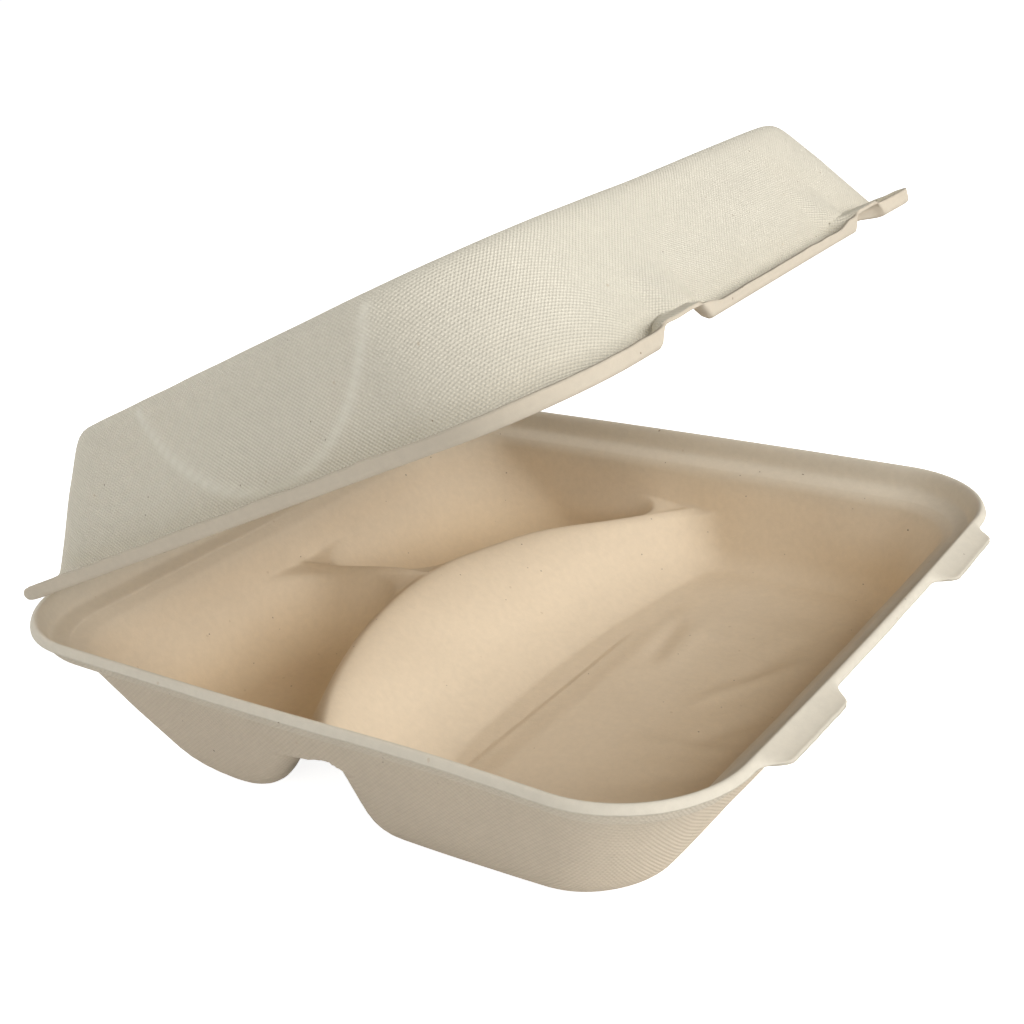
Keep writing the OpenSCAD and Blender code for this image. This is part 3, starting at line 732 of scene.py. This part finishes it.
def fibre(name, pale, deep, rough, mesh_print=0.0, pitch=0.0):
    """Moulded plant fibre, with the print of a wire mesh: its height in millimetres, its pitch in metres."""
    mat = bpy.data.materials.new(name)
    mat.use_nodes = True
    n = Nodes(mat.node_tree)
    shader = next(x for x in mat.node_tree.nodes if x.type == "BSDF_PRINCIPLED")
    where = n.add("ShaderNodeAttribute", attribute_name="cast").outputs["Vector"]
    cloud = noise(n, where, 34.0, 3.0, 0.55)[0]
    pulp = noise(n, where, 420.0, 4.0, 0.65)[0]
    fine = noise(n, where, 1500.0, 2.0, 0.6)[0]
    # Colour passes from pale near the rim or lip to deep further from it; on the tray's food side the deep
    # colour is painted shade, the warmer tan of the shaded compartments
    colour = n.mix(n.ramp(stored(n, "deep"), 0.03, 0.45), (*pale, 1), (*deep, 1))
    # Painted shade: a warm brown mixed in where the stored mask marks the shaded depths of the compartments
    colour = n.mix(n.math("MULTIPLY", stored(n, "painted_shade"), 0.6), colour, (0.70, 0.535, 0.335, 1))
    tone = n.math("ADD", n.math("MULTIPLY", n.math("SUBTRACT", cloud, 0.5), 0.12),
                  n.math("MULTIPLY", n.math("SUBTRACT", pulp, 0.5), 0.16))
    toned = n.add("ShaderNodeHueSaturation", {"Color": colour, "Value": n.math("ADD", 1.0, tone)})
    cloudy = n.math("MULTIPLY", n.ramp(cloud, 0.5, 0.75), 0.06)
    colour = n.mix(cloudy, toned.outputs[0], (0.62, 0.50, 0.36, 1))
    colour = flecks(n, where, colour)
    height = n.math("ADD", n.math("MULTIPLY", pulp, 0.06), n.math("MULTIPLY", fine, 0.035))
    if mesh_print:
        height, colour = wire_print(n, where, height, colour, mesh_print, pitch)
    bump = n.add("ShaderNodeBump", {"Height": height, "Distance": MM, "Strength": 1.0})
    n.put(shader.inputs["Normal"], bump.outputs[0])
    n.put(shader.inputs["Base Color"], colour)
    n.put(shader.inputs["Roughness"], n.math("ADD", rough, n.math("MULTIPLY", pulp, 0.14)))
    shader.inputs["Specular IOR Level"].default_value = 0.25
    return mat


def wire_print(n, where, height, colour, mesh_print, pitch):
    """The print of a woven wire mesh: three crossing families of ribs, of which the side walls show two."""
    sway = noise(n, where, 30.0, 1.0)[1]
    bent = vector(n, "ADD", where, vector(n, "MULTIPLY", sway, (0.0012, 0.0012, 0.0012)))
    wave = 2 * math.pi / pitch
    ribs = []
    for direction in ((1, -1, 1), (1, 1, -1), (1, 1, 1)):
        along = vector(n, "DOT_PRODUCT", bent, tuple(wave * d for d in direction)).outputs["Value"]
        ribs.append(n.math("ADD", n.math("MULTIPLY", n.math("SINE", along), 0.5), 0.5))
    second = shared(n, ribs[1], ribs[2], stored(n, "side"))
    patch = n.ramp(noise(n, where, 20.0, 2.0)[0], 0.3, 0.7)
    weave = shared(n, second, ribs[0], n.math("ADD", n.math("MULTIPLY", patch, 0.24), 0.38))
    press = stored(n, "press")
    weave = n.math("MULTIPLY", weave, n.math("SUBTRACT", 1.0, n.math("MULTIPLY", press, 0.8)))
    height = n.math("ADD", height, n.math("MULTIPLY", weave, mesh_print))
    # Painted shade: the hollows of the mesh print are darkened in colour, less so on pressed places
    darkest = n.math("SUBTRACT", 0.24, n.math("MULTIPLY", press, 0.24))
    hollow_shade = n.math("MULTIPLY", n.math("SUBTRACT", 1.0, weave), darkest)
    colour = n.mix(hollow_shade, colour, (0.40, 0.34, 0.25, 1))
    # Pressed places are painted paler: on the lid's arc partly for the smooth pressed fibre and partly as a
    # painted highlight along its ridge; the fold strip is paler too
    return height, n.mix(n.math("MULTIPLY", press, 0.35), colour, (0.80, 0.77, 0.67, 1))


tray_out = fibre("tray_mesh_side", (0.67, 0.60, 0.485), (0.645, 0.555, 0.435), 0.82, 0.18, 0.00165)
# The food side's deep colour, warmer and more saturated than its pale one, is painted shade
tray_in = fibre("tray_food_side", (0.66, 0.605, 0.50), (0.745, 0.625, 0.465), 0.66)
lid_out = fibre("lid_mesh_side", (0.74, 0.69, 0.57), (0.74, 0.695, 0.58), 0.82, 0.24, 0.00138)
lid_in = fibre("lid_food_side", (0.57, 0.50, 0.395), (0.66, 0.56, 0.43), 0.66)

tray = build_tray()
lid = build_lid()
fold = build_fold()
for obj, mats in ((tray, (tray_out, tray_in)), (lid, (lid_out, lid_in)), (fold, (tray_out,))):
    for mat in mats:
        obj.data.materials.append(mat)

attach(tray, "tray")
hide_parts("tray")
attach(lid, "lid")
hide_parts("lid")
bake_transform(fold)

# Floor, light and camera: metres and watts
FLOOR_HALF = 14.0
LAMP_DISTANCE, LAMP_TARGET = 2.2, 0.04
# Name, azimuth, elevation, width, height and power
LAMPS = [
    ("key", 2, 31, 2.4, 1.7, 51),
    ("hinge_fill", 180, 25, 1.6, 1.0, 21),
    ("front_fill", -72, 25, 1.6, 1.0, 12),
]
# The camera as fitted to the photograph: place in the part's millimetres, turns, and focal length in pixels
CAMERA_AT = (359.97, -237.61, 185.92)
CAMERA_TURNS = (-35.27, 22.02, -3.94)
FOCAL_PIXELS, IMAGE_PIXELS, SENSOR = 1521.6, 1024, 36.0


def seen_directly(n):
    """1 for rays that the camera or a glossy or clear surface sends, 0 for those that give light."""
    rays = n.add("ShaderNodeLightPath").outputs
    seen = n.math("MAXIMUM", rays["Is Camera Ray"], rays["Is Glossy Ray"])
    return n.math("MAXIMUM", seen, rays["Is Transmission Ray"])


def make_floor():
    """A wide pale floor, which keeps the object's shadow and looks white."""
    h = FLOOR_HALF
    mesh = bpy.data.meshes.new("floor")
    mesh.from_pydata([(-h, -h, 0), (h, -h, 0), (h, h, 0), (-h, h, 0)], [], [(0, 1, 2, 3)])
    floor = bpy.data.objects.new("floor", mesh)
    scene.collection.objects.link(floor)
    pale = bpy.data.materials.new("pale_floor")
    pale.use_nodes = True
    pale.node_tree.nodes.clear()
    n = Nodes(pale.node_tree)
    diffuse = n.add("ShaderNodeBsdfDiffuse", {"Color": (0.80, 0.80, 0.80, 1)})
    strength = n.math("MULTIPLY", seen_directly(n), 0.86)
    glow = n.add("ShaderNodeEmission", {"Color": (1, 1, 1, 1), "Strength": strength})
    both = n.add("ShaderNodeAddShader", {0: diffuse, 1: glow})
    n.add("ShaderNodeOutputMaterial", {"Surface": both})
    mesh.materials.append(pale)


def make_world():
    """A dim white room, seen as plain white."""
    world = bpy.data.worlds.new("studio")
    scene.world = world
    world.use_nodes = True
    world.node_tree.nodes.clear()
    n = Nodes(world.node_tree)
    strength = n.math("ADD", n.math("MULTIPLY", seen_directly(n), 0.8), 0.2)
    sky = n.add("ShaderNodeBackground", {"Color": (1, 1, 1, 1), "Strength": strength})
    n.add("ShaderNodeOutputWorld", {"Surface": sky})


def facing(right, up, back, where):
    """The matrix of a lamp or camera from its axes and place."""
    m = np.eye(4)
    m[:3, 0], m[:3, 1], m[:3, 2], m[:3, 3] = right, up, back, where
    return Matrix(m.tolist())


def area_light(name, azimuth, elevation, width, height, power):
    """A rectangular softbox that faces the object from a direction."""
    data = bpy.data.lights.new(name, "AREA")
    data.shape = "RECTANGLE"
    data.size, data.size_y, data.energy = width, height, power
    obj = bpy.data.objects.new(name, data)
    scene.collection.objects.link(obj)
    a, e = math.radians(azimuth), math.radians(elevation)
    target = np.array([0, 0, LAMP_TARGET])
    toward = np.array([math.cos(e) * math.cos(a), math.cos(e) * math.sin(a), math.sin(e)])
    where = target + LAMP_DISTANCE * toward
    back = unit(where - target)
    right = unit(np.cross([0, 0, 1.0], back))
    obj.matrix_world = facing(right, np.cross(back, right), back, where)


def make_camera():
    """The camera that the photograph was fitted with."""
    yaw, pitch, roll = (math.radians(v) for v in CAMERA_TURNS)
    level = math.cos(pitch)
    forward = np.array([math.sin(yaw) * level, math.cos(yaw) * level, -math.sin(pitch)])
    level_right = unit(np.cross(forward, [0, 0, 1.0]))
    level_up = np.cross(level_right, forward)
    right = math.cos(roll) * level_right + math.sin(roll) * level_up
    up = -math.sin(roll) * level_right + math.cos(roll) * level_up
    data = bpy.data.cameras.new("camera")
    data.sensor_width, data.clip_start = SENSOR, 0.01
    data.lens = FOCAL_PIXELS / IMAGE_PIXELS * SENSOR
    camera = bpy.data.objects.new("camera", data)
    camera.matrix_world = facing(right, up, -forward, (np.array(CAMERA_AT) - ORIGIN) * MM)
    scene.collection.objects.link(camera)
    scene.camera = camera


make_floor()
make_world()
# A broad low softbox on the latch side reaches in under the lid; weaker ones fill the other sides
for lamp in LAMPS:
    area_light(*lamp)
make_camera()
scene.view_settings.view_transform = "Standard"
